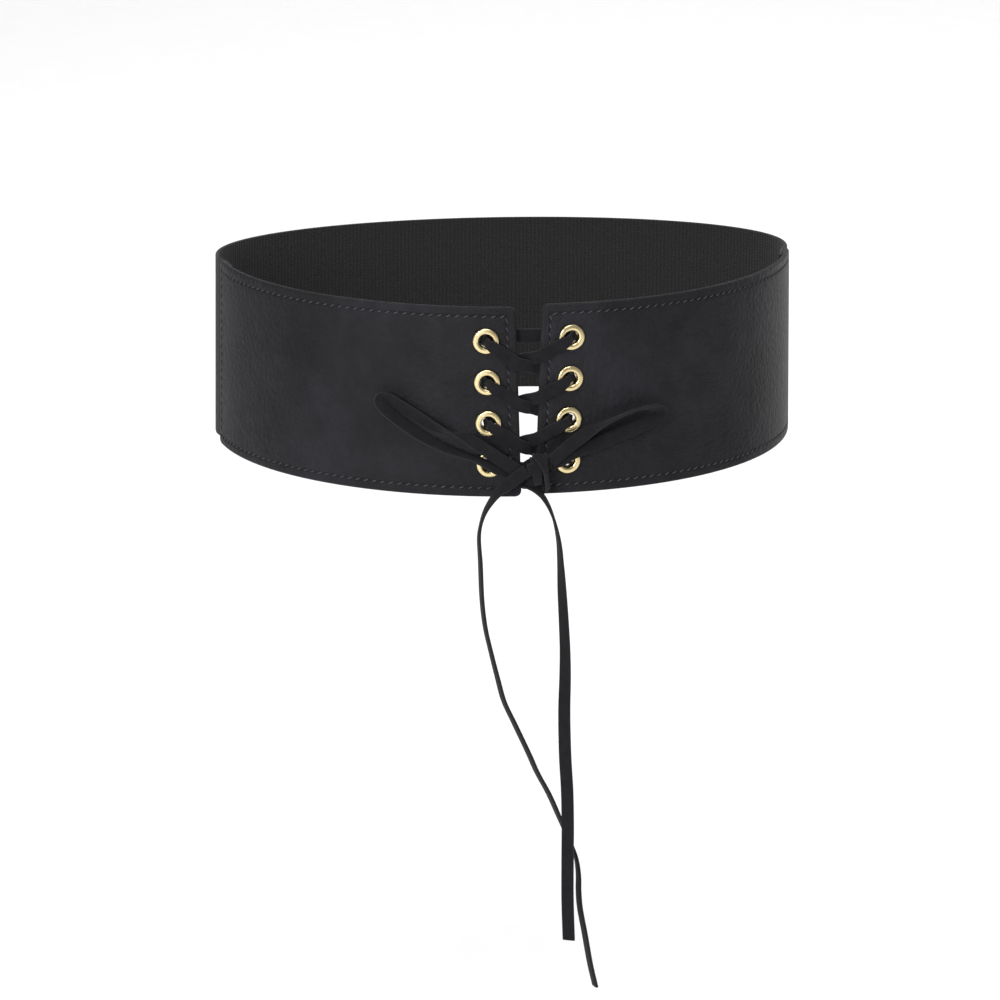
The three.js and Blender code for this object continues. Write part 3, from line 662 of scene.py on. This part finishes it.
def back_band():
    """Elastic band: level with the leather round the back, and tucked under the panels by a smooth step."""
    seam = gap_half(0) + PANEL_LENGTH
    start = seam - BAND_OVERLAP
    tucked = -(PANEL_THICKNESS + CLEARANCE)
    half_length = HALF_ROUND - start
    walked = np.linspace(0, 2 * half_length, BAND_SAMPLES)
    reach = start + np.minimum(walked, 2 * half_length - walked)
    side = np.where(walked <= half_length, 1, -1)
    high = BELT_HEIGHT / 2 - BAND_RIM_INSET
    rows = graded(2 * high, BAND_RIM_GRADE, BAND_GRID) - high
    rise = np.clip((reach - seam) / BAND_EASE, 0, 1)
    outer = tucked * (1 - rise * rise * (3 - 2 * rise))
    lift = side * PANEL_STEP * (1 - np.clip((reach - seam) / (HALF_ROUND - seam), 0, 1))
    rim = BAND_THICKNESS / 2
    arm = np.clip(rim - (high - np.abs(rows)), 0, None) / rim
    half = rim * np.maximum(BAND_RIM_LEAST, np.sqrt(1 - arm ** 2))
    middle = (outer - rim)[:, None]
    # the knitted edges draw in a little between the seams
    waist = BAND_DRAW_IN * np.sin(np.pi * walked / (2 * half_length))[:, None] * np.sign(rows)
    z = rows[None, :] - waist * (np.abs(rows) / high) ** 4
    along = np.broadcast_to((side * reach)[:, None], z.shape)
    points = np.stack([wall(along, z, middle + half), wall(along, z, middle - half)])
    points[..., 2] += lift[:, None]
    lay = np.stack([np.broadcast_to(walked[:, None], z.shape), z], axis=-1)
    lay = np.broadcast_to(lay, (2, *z.shape, 2))
    quads = shell_quads(np.ones((len(walked) - 1, len(rows) - 1), bool))
    points = points.reshape(-1, 3)
    quads = outward_faces(points, quads)
    made = make_piece("back_band", points, quads, ELASTIC, lay.reshape(-1, 2))
    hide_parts("back_band")


def eyelet(name, row, side):
    """Profile turned round the eyelet's axis: barrel, rolled flange with a faint ring, washer behind."""
    outer_barrel = EYELET_HOLE_RADIUS + EYELET_BARREL_WALL
    seat = CLEARANCE
    back = -(PANEL_THICKNESS + CLEARANCE + WASHER_SAG)
    roll = FLANGE_RADIUS - EYELET_HOLE_RADIUS
    roll_back = WASHER_RADIUS - EYELET_HOLE_RADIUS
    turn = np.linspace(np.pi, 0, CROWN_SAMPLES)
    # the flange's crown is a squashed half circle, with a shallow ring pressed into it
    crown_r = EYELET_HOLE_RADIUS + roll / 2 * (1 + np.cos(turn))
    crown_h = seat + FLANGE_HEIGHT * (FLANGE_FOOT + (1 - FLANGE_FOOT) * np.sin(turn) ** CROWN_POWER)
    past_ring = crown_r - EYELET_HOLE_RADIUS - RING_PLACE * roll
    crown_h -= RING_DEPTH * np.exp(-(past_ring / RING_HALF_WIDTH) ** 2)
    under_r = EYELET_HOLE_RADIUS + roll_back / 2 * (1 + np.cos(turn[::-1]))
    under_h = back - WASHER_HEIGHT * np.sin(turn[::-1]) ** WASHER_POWER
    radius = np.concatenate([
        [EYELET_HOLE_RADIUS, EYELET_HOLE_RADIUS], crown_r,
        [FLANGE_RADIUS - FLANGE_LIP, outer_barrel, outer_barrel], under_r,
    ])
    height = np.concatenate([[back + BARREL_LIP, seat], crown_h, [seat, seat, back], under_h])
    angle = np.linspace(0, 2 * np.pi, EYELET_SIDES, endpoint=False)
    along, z = eyelet_at(row, side)
    axis = outward(np.array(along))
    sideways = np.array([-axis[1], axis[0], 0])
    seat_point = wall(np.array(along), z, 0)
    points = (
        seat_point
        + axis * height[None, :, None]
        + (sideways * np.cos(angle)[:, None] + np.array([0, 0, 1]) * np.sin(angle)[:, None])[:, None, :]
        * radius[None, :, None]
    ).reshape(-1, 3)
    quads = tube_quads(len(angle), len(radius), closed=True)
    made = make_piece(name, points, outward_faces(points, quads), GOLD)
    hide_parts(name)


SECTION_TURN = np.linspace(0, 2 * np.pi, LACE_SIDES, endpoint=False)


def ribbon(middles, across, width, thickness, cup=0.0):
    """Flat lace carried along its middles.

    The section is a superellipse, width across and thickness through; cup bows it by that much at its edges.
    Returns points, quads, end caps and the lay map: place across from 0 to 1, and length in millimetres.
    """
    travel = unit(np.gradient(middles, axis=0))
    across = unit(across - travel * np.einsum("ij,ij->i", across, travel)[:, None])
    through = np.cross(travel, across)
    cos, sin = np.cos(SECTION_TURN), np.sin(SECTION_TURN)
    a = np.sign(cos) * np.abs(cos) ** (2 / LACE_SQUARENESS)
    t = np.sign(sin) * np.abs(sin) ** (2 / LACE_SQUARENESS)
    count = len(middles)
    width = np.broadcast_to(np.asarray(width, float), count)[:, None]
    thickness = np.broadcast_to(np.asarray(thickness, float), count)[:, None]
    cup = np.broadcast_to(np.asarray(cup, float), count)[:, None]
    aside = width / 2 * a
    # less 0.4, near the mean of the square, so that a cupped lace keeps its middle
    deep = thickness / 2 * t + cup * (a ** 2 - 0.4)
    points = middles[:, None] + across[:, None] * aside[..., None] + through[:, None] * deep[..., None]
    sides = len(SECTION_TURN)
    quads = tube_quads(count, sides)
    ahead = np.arange(sides).tolist()
    caps = [ahead[::-1], [(count - 1) * sides + i for i in ahead]]
    length = np.concatenate([[0], np.cumsum(np.linalg.norm(np.diff(middles, axis=0), axis=1))])
    lay = np.stack(np.broadcast_arrays((a + 1) / 2, length[:, None]), axis=-1)
    points = points.reshape(-1, 3)
    turned = outward_faces(points, quads)
    if turned is not quads:
        caps = [cap[::-1] for cap in caps]
    return points, turned, caps, lay.reshape(-1, 2)


def lace_piece(name, strips):
    """One or more ribbons as one suede piece that replaces the CAD node of the same name."""
    points, quads, caps, lays, base = [], [], [], [], 0
    for strip_points, strip_quads, strip_caps, strip_lay in strips:
        points.append(strip_points)
        quads.append(strip_quads + base)
        caps += [[index + base for index in cap] for cap in strip_caps]
        lays.append(strip_lay)
        base += len(strip_points)
    made = make_piece(
        name, np.concatenate(points), np.concatenate(quads), SUEDE, np.concatenate(lays), caps,
    )
    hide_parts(name)
    return made


# How far off the leather's outer face the lace's middle lies, in each place that it passes
OVER_LEATHER = CLEARANCE + LACE_THICKNESS / 2
OVER_FLANGE = CLEARANCE + FLANGE_HEIGHT + CLEARANCE + LACE_THICKNESS / 2
UNDER_LEATHER = -(PANEL_THICKNESS + CLEARANCE + LACE_THICKNESS / 2)
UNDER_WASHER = UNDER_LEATHER - CLEARANCE - WASHER_HEIGHT - WASHER_SAG

# Each kind of strand: its drop at the gap's two edges, and by which share it has sunk on the way across
OVER_STRAND = {"near": 0.58, "far": 0.76, "dive": [(0.2, 0.08), (0.45, 0.3), (0.8, 1)]}
UNDER_STRAND = {"near": 0.4, "far": 0.57, "dive": [(0.3, 0.3), (0.55, 0.75), (0.85, 1)]}


def between(start, end, share, off):
    """Lace station (along, z, off, slope, width, thickness, cup) at a share of the way from start to end."""
    slope = (end[1] - start[1]) / (end[0] - start[0])
    along = start[0] + (end[0] - start[0]) * share
    z = start[1] + (end[1] - start[1]) * share
    return [along, z, off, slope, LACE_WIDTH, LACE_THICKNESS, 0]


def through_eyelet(place, side, slope_behind, slope_before):
    """Stations from behind an eyelet to its front: a bend, the hole, and a bend back to the gap."""
    way = -side
    front = OVER_FLANGE - LACE_BEND
    back = UNDER_WASHER + LACE_BEND
    # an eighth of a turn round a bend comes this far both ways
    eighth = LACE_BEND * math.sqrt(0.5)
    far = LACE_BITE + LACE_BEND
    rows = [
        (UNDER_WASHER, LACE_BEND - LACE_SLACK, slope_behind, GATHERED_WIDTH, GATHERED_CUP),
        (back - eighth, LACE_BEND - LACE_SLACK - eighth, slope_behind, PINCHED_WIDTH, PINCHED_CUP),
        (back, -LACE_SLACK, slope_behind, PINCHED_WIDTH, PINCHED_CUP),
        (front, LACE_BITE, slope_before, PINCHED_WIDTH, PINCHED_CUP),
        (front + eighth, far - eighth, slope_before, PINCHED_WIDTH, PINCHED_CUP),
        (OVER_FLANGE, far, slope_before, GATHERED_WIDTH, GATHERED_CUP),
    ]
    stations = []
    for i, (off, distance, slope, width, cup) in enumerate(rows):
        lean = math.atan(slope)
        blend = slope_behind + (slope_before - slope_behind) * i / (len(rows) - 1)
        thickness = PINCHED_THICKNESS if width == PINCHED_WIDTH else LACE_THICKNESS
        stations.append([
            place[0] + way * distance * math.cos(lean), place[1] + way * distance * math.sin(lean),
            off, blend, width, thickness, cup,
        ])
    return stations


def down_flange(place, side, slope):
    """Two stations where the lace comes down off an eyelet's flange on to the leather."""
    rows = [
        (FLANGE_RADIUS + CLEARANCE, OVER_FLANGE - FLANGE_HEIGHT / 3),
        (FLANGE_RADIUS + LACE_THICKNESS + 2 * CLEARANCE, OVER_LEATHER + CLEARANCE),
    ]
    stations = []
    for distance, off in rows:
        along = place[0] - side * distance
        z = place[1] - slope * side * distance
        stations.append([along, z, off, slope, LACE_WIDTH, LACE_THICKNESS, 0])
    return stations


def across_gap(start, side, end, strand):
    """Stations from an eyelet's front down across the gap, and the slopes before and behind the leather."""
    drop = end[1] - start[1]
    near_z = start[1] + drop * strand["near"]
    far_z = start[1] + drop * strand["far"]
    near = (side * gap_half(near_z), near_z)
    far = (-side * gap_half(far_z), far_z)
    front = (near[1] - start[1]) / (near[0] - start[0])
    behind = (end[1] - far[1]) / (end[0] - far[0])
    stations = down_flange(start, side, front)
    stations.append(between(start, near, 1, OVER_LEATHER))
    for share, sunk in strand["dive"]:
        stations.append(between(near, far, share, OVER_LEATHER + (UNDER_LEATHER - OVER_LEATHER) * sunk))
    stations.append(between(far, end, PANEL_EDGE_RADIUS / EYELET_INSET, UNDER_LEATHER))
    stations.append(between(far, end, 0.4, (UNDER_LEATHER + UNDER_WASHER) / 2))
    return stations, front, behind


def half_lacing(side):
    """From the first row's eyelet on one side down to the knot."""
    stations = []
    place = eyelet_at(0, side)
    slope_behind = 0
    for row in range(EYELET_ROWS - 1):
        following = eyelet_at(row + 1, -side)
        strand = OVER_STRAND if side < 0 else UNDER_STRAND
        hop, front, behind = across_gap(place, side, following, strand)
        stations += through_eyelet(place, side, slope_behind, front) + hop
        slope_behind = behind
        place = following
        side = -side
    end = (KNOT_ALONG + side * (KNOT_HALF_WIDTH + CLEARANCE), LACE_MEET + side * LACE_SPREAD - KNOT_DROP)
    slope = (end[1] - place[1]) / (end[0] - place[0])
    stations += through_eyelet(place, side, slope_behind, slope) + down_flange(place, side, slope)
    stations.append(between(place, end, 1, OVER_LEATHER + CLEARANCE))
    return stations


def laced_stretch():
    """The lace from the knot up one side, straight behind the first row and down the other side."""
    level = (eyelet_at(0, -1)[1] + eyelet_at(0, 1)[1]) / 2 + BAR_RISE
    bar = [
        [place * gap_half(level), level, UNDER_WASHER, 0, LACE_WIDTH, LACE_THICKNESS, 0]
        for place in (-1, 0, 1)
    ]
    rows = half_lacing(-1)[::-1] + bar + half_lacing(1)
    along, z, off, slope, width, thickness, cup = glide(rows, LACE_STEP).T
    middles = wall(along, z, off)
    out = outward(along)
    right = np.stack([-out[:, 1], out[:, 0], np.zeros_like(along)], axis=-1)
    lean = np.arctan(slope)[:, None]
    across = np.array([0, 0, 1]) * np.cos(lean) - right * np.sin(lean)
    lace_piece("lace", [ribbon(middles, across, width, thickness, cup)])


# Bow loops: (along, z) from the knot's middle, off the leather, and the turn of the lace's width
LEFT_LOOP = [
    (6.5, -1.6, 6.3, -86), (11.6, 2.1, 6.3, -86), (17.8, 6.4, 6.5, -84), (24, 10.7, 6.4, -72),
    (28.6, 13.7, 5.9, -52), (32.9, 15.8, 5.2, -26), (37.5, 17.1, 4.7, 8), (42.2, 18.4, 4.5, 38),
    (47.7, 20.7, 4.2, 60), (54.2, 24.4, 3.8, 68), (61.5, 28.5, 3.7, 68), (67, 31.4, 3.8, 64),
    (70.3, 32, 4.3, 56), (71.2, 30.4, 4.8, 48), (68.6, 26.5, 4.8, 38), (63.1, 22.1, 4.5, 35),
    (54.7, 16.5, 4.3, 34), (47.2, 12.6, 4.3, 32), (40.3, 9.7, 4.5, 28), (33.9, 7.6, 5.2, 18),
    (27.5, 5.6, 5.6, 14), (21.8, 3.2, 6.6, 30), (16.5, 0.8, 5.2, 72), (11.5, -1.2, 4.6, 86),
    (6.5, -2.4, 4.3, 88),
]
RIGHT_LOOP = [
    (4.9, 4.1, 6.3, -87), (9.6, 8.3, 6.5, -86), (13.5, 11.4, 6.3, -80), (17.9, 14.4, 5.7, -66),
    (21.8, 16.7, 5, -40), (26.3, 18.7, 4.8, -8), (31, 20.5, 4.6, 10), (36.2, 22.6, 4.5, 15),
    (44.2, 25, 4.5, 19), (50, 25.9, 4.6, 26), (54.8, 25.2, 4.8, 38), (57.6, 22.8, 4.8, 52),
    (55.9, 20.6, 4.4, 66), (52.4, 18.9, 3.9, 74), (47.2, 17, 3.5, 79), (39.3, 14.7, 3.2, 82),
    (27.6, 11.1, 3.3, 80), (19, 8.8, 4.1, 78), (13.5, 6.9, 4.8, 80), (8.7, 4.4, 4.8, 84),
    (4.9, 2.4, 4.5, 88),
]


def bow_loop(name, rows, side):
    """Lace along a loop's table; its width is turned about its travel from straight out of the leather."""
    along, z, off, turn = glide(rows, LOOP_STEP).T
    along = KNOT_ALONG + side * along
    middles = wall(along, z - KNOT_DROP, off)
    out = outward(along)
    outside = side * unit(np.cross(out, unit(np.gradient(middles, axis=0))))
    turn = np.radians(turn)[:, None]
    across = out * np.cos(turn) + outside * np.sin(turn)
    made = lace_piece(name, [ribbon(middles, across, LACE_WIDTH, LACE_THICKNESS)])


# Hanging ends: (x, z) from the knot's middle, forward of the leather at the gap, and the width's turn
LEFT_TAIL = [
    (-5.4, 1.1, 8.8, 88), (-8.6, -1.1, 8.8, 86), (-11.8, -3.5, 8.5, 80), (-15.3, -6.1, 7.8, 52),
    (-18, -8.9, 6.9, 24), (-21.5, -13.5, 6.1, 10), (-24.6, -19.3, 5.2, 1), (-26.3, -25.3, 4.5, -3),
    (-27, -31.2, 4, 2), (-26.3, -43.4, 3.2, 7), (-25.4, -62.1, 2.2, 8), (-23.8, -75.1, 1.6, 9),
    (-21.1, -87.2, 1.1, 10), (-18.1, -99.4, 0.7, 12), (-15, -111, 0.3, 14), (-10, -122.2, 0, 16),
    (-3.1, -137.5, -0.4, 16), (0.5, -146, -0.6, 16), (6.4, -157.5, -0.8, 16), (11.6, -169.8, -1, 14),
    (16.2, -180.6, -1, 10), (19.1, -188.6, -1, 8), (20.3, -197, -1, 10), (20.4, -204.8, -1, 12),
    (21, -212.7, -1, 14), (23.4, -226.1, -1, 15), (26.2, -242, -1, 15), (28.6, -252.5, -1, 15),
]
RIGHT_TAIL = [
    (-6.6, -6.4, 3.2, -20), (-3.9, -7.4, 3.4, -20), (-0.8, -9.4, 3.7, -17), (2, -12.3, 3.9, -12),
    (4.8, -16.9, 4.1, -7), (7.3, -23.3, 4.4, -1), (9.6, -33.8, 4.6, 9), (10.5, -44.6, 4.8, 18),
    (11.2, -57.4, 5, 31), (12.1, -72.7, 5.2, 38), (12.7, -85.5, 5.4, 43), (12.8, -98, 5.5, 50),
    (12.5, -115.3, 5.6, 58), (13, -136.5, 5.8, 62), (14, -153.4, 6, 63), (14.4, -170.9, 6, 63),
    (14.4, -188.4, 6, 63), (14.5, -206.1, 6, 63), (14.9, -218.8, 6, 62), (15.2, -226.7, 6, 62),
]


def hanging_end(name, rows):
    """Lace along a hanging end's table; its width is turned about its travel from straight forward."""
    x, z, ahead, turn = glide(rows, TAIL_STEP).T
    middles = np.stack([KNOT_ALONG + x, PLAN_Y[0] - ahead, z - KNOT_DROP], axis=-1)
    forward = np.broadcast_to(np.array([0.0, -1.0, 0.0]), middles.shape)
    sideways = unit(np.cross(forward, unit(np.gradient(middles, axis=0))))
    turn = np.radians(turn)[:, None]
    across = forward * np.cos(turn) + sideways * np.sin(turn)
    made = lace_piece(name, [ribbon(middles, across, LACE_WIDTH, LACE_THICKNESS)])


def knot_strip(rows):
    """Ribbon inside the knot.

    Rows are (right, up, out) from its middle, (right, up, out) of the lace's width, and that width.
    """
    way = glide(rows, KNOT_STEP)
    out = outward(np.array(float(KNOT_ALONG)))
    basis = np.stack([[-out[1], out[0], 0], [0, 0, 1], out])
    middle = wall(np.array(float(KNOT_ALONG)), -KNOT_DROP, KNOT_STAND_OFF)
    places, across = middle + way[:, :3] @ basis, way[:, 3:6] @ basis
    return ribbon(places, across, way[:, 6], LACE_THICKNESS, KNOT_CUP)


def bow_knot():
    """The laces' crossing under one turn drawn tight, broad where it folds over the top and thin below."""
    wrap = [
        (0, 4, -3.2, 1, -0.1, 0, 5.4), (0.2, 6.4, -2.2, 1, -0.1, 0, 6), (0.6, 7.2, -0.3, 1, -0.1, 0, 6.8),
        (0.8, 6.7, 1.7, 1, -0.1, 0, 7), (1.3, 5.3, 3, 0.95, 0, -0.2, 5.2), (2, 3.1, 3.7, 0.8, 0.1, -0.5, 4),
        (2.7, 0.4, 4, 0.6, 0.1, -0.75, 3.4), (3.1, -3.4, 3.7, 0.5, 0, -0.86, 3.2),
        (3.7, -6.8, 2.7, 0.5, 0, -0.86, 3.2), (4, -8.7, 1, 0.5, 0.5, -0.7, 3),
        (3.9, -8.3, -1, 0.7, 0.6, -0.3, 3), (3.5, -6, -2.3, 1, 0, 0, 3.4),
    ]
    band = [
        (-2.2, 5, -1.4, 1, -0.1, 0.1, 4), (-2, 5.8, 0.4, 1, -0.1, 0.1, 4.2),
        (-1.6, 4.9, 2.3, 1, -0.1, 0.1, 4.4), (-1.3, 2.6, 3.1, 1, -0.1, 0.1, 4.4),
        (-1, -0.9, 3.3, 1, -0.1, 0.1, 4.4), (-0.7, -4, 2.8, 1, 0.1, 0.1, 4),
        (-0.4, -5.5, 1.6, 1, 0.2, 0.1, 3.6), (-0.1, -5.8, 0.2, 1, 0.2, 0.1, 3.2),
        (0.2, -5, -1.4, 1, 0.2, 0.1, 3),
    ]
    under = [
        (-6, 0.2, -3.9, 0, 1, 0, 5.6), (-3.6, 1.9, -3.4, -0.3, 1, 0, 5.8), (-1.6, 3, -2.6, 0, 1, 0, 6),
        (0.2, 3.4, -1.6, 0, 1, 0, 6), (2.6, 2.8, -0.8, 0, 1, 0, 5.4), (4.9, 2.4, -0.6, 0, 1, 0, 5.6),
    ]
    over = [
        (-6.3, -2.2, -0.8, 0, 1, 0, 5.4), (-3, -1, -0.6, 0, 1, 0, 5.4), (0, 1, -0.2, 0, 1, 0, 5.4),
        (3, 3, 0.8, 0, 1, 0, 5.4), (5, 4.2, 1.2, -0.4, 1, 0, 5.6),
    ]
    root_left = [
        (1, 1.6, 1.4, 0.1, 1, 0.1, 5.8), (-1, 1.6, 2.3, 0.2, 1, 0.1, 6), (-3, 1.6, 3.1, 0.35, 1, 0, 6.4),
        (-5.4, 1.1, 3.7, 0.55, 1, 0, 6),
    ]
    root_right = [
        (2.4, -3, 0.6, 0.3, 1, 0.2, 4.6), (-0.4, -4.4, 0.1, 0.3, 0.9, 0.2, 5),
        (-3, -5.2, -0.6, 0.2, 0.9, 0.2, 5), (-6, -6.2, -1.4, 0.1, 0.9, -0.2, 5),
        (-8.4, -5.8, -2.3, -0.2, 0.9, -0.2, 4.6),
    ]
    strips = [knot_strip(rows) for rows in (wrap, band, under, over, root_left, root_right)]
    lace_piece("bow_knot", strips)


bow_loop("bow_loop_left", LEFT_LOOP, -1)
bow_loop("bow_loop_right", RIGHT_LOOP, 1)
hanging_end("lace_tail_left", LEFT_TAIL)
hanging_end("lace_tail_right", RIGHT_TAIL)
bow_knot()
laced_stretch()
for panel_name, panel_side in (("left", -1), ("right", 1)):
    leather_panel(f"panel_{panel_name}", panel_side)
    seam_stitches(f"seam_stitches_{panel_name}", panel_side)
    for eyelet_row in range(EYELET_ROWS):
        eyelet(f"eyelet_{panel_name}_{eyelet_row + 1}", eyelet_row, panel_side)
back_band()


def studio_floor():
    """Floor that curves up into a backdrop: flat, then a quarter circle, then straight up."""
    front, flat, radius, height = 4.0, 3.0, 2.0, 3.0
    level = -0.31
    bend = np.linspace(0, np.pi / 2, 25)
    y = np.concatenate([[-front], flat + radius * np.sin(bend), [flat + radius]])
    z = np.concatenate([[0], radius * (1 - np.cos(bend)), [height]]) + level
    x = np.linspace(-6, 6, 5)
    grid = np.stack(np.broadcast_arrays(x[:, None], y[None, :], z[None, :]), axis=-1)
    rows, columns = grid.shape[:2]
    index = np.arange(rows * columns).reshape(rows, columns)
    quads = np.stack([index[:-1, :-1], index[1:, :-1], index[1:, 1:], index[:-1, 1:]], axis=-1).reshape(-1, 4)
    mesh = bpy.data.meshes.new("studio_floor")
    mesh.from_pydata(grid.reshape(-1, 3), [], quads.tolist())
    mesh.update()
    mesh.shade_smooth()
    mesh.materials.append(photo_paper())
    floor = bpy.data.objects.new("studio_floor", mesh)
    bpy.context.collection.objects.link(floor)


def soft_box(name, place, aim, size, power):
    """Rectangular area light that faces a point."""
    light = bpy.data.lights.new(name, "AREA")
    light.shape = "RECTANGLE"
    light.size, light.size_y = size
    light.energy = power
    lamp = bpy.data.objects.new(name, light)
    turn = (Vector(place) - Vector(aim)).to_track_quat("Z", "Y")
    lamp.matrix_world = Matrix.Translation(place) @ turn.to_matrix().to_4x4()
    bpy.context.collection.objects.link(lamp)


def studio_light():
    """Dim pale surround and four boxes: above in front, low front left, behind right, over the floor."""
    world = bpy.data.worlds.new("studio")
    bpy.context.scene.world = world
    world.use_nodes = True
    world.node_tree.nodes["Background"].inputs["Color"].default_value = (1, 1, 1, 1)
    world.node_tree.nodes["Background"].inputs["Strength"].default_value = 0.3
    middle = (0, -0.05, -0.03)
    soft_box("box_above", (-0.35, -1.3, 2.5), middle, (1.8, 1.2), 40)
    soft_box("box_front", (-1.26, -2.17, 0.67), middle, (0.8, 0.8), 34)
    soft_box("box_right", (1.25, 1.3, 0.1), middle, (0.5, 1.0), 4)
    soft_box("box_floor", (0.5, 2.0, 2.6), (0.5, 2.0, 0), (3.2, 3.8), 80)
    bpy.context.scene.view_settings.view_transform = "Standard"


studio_floor()
studio_light()
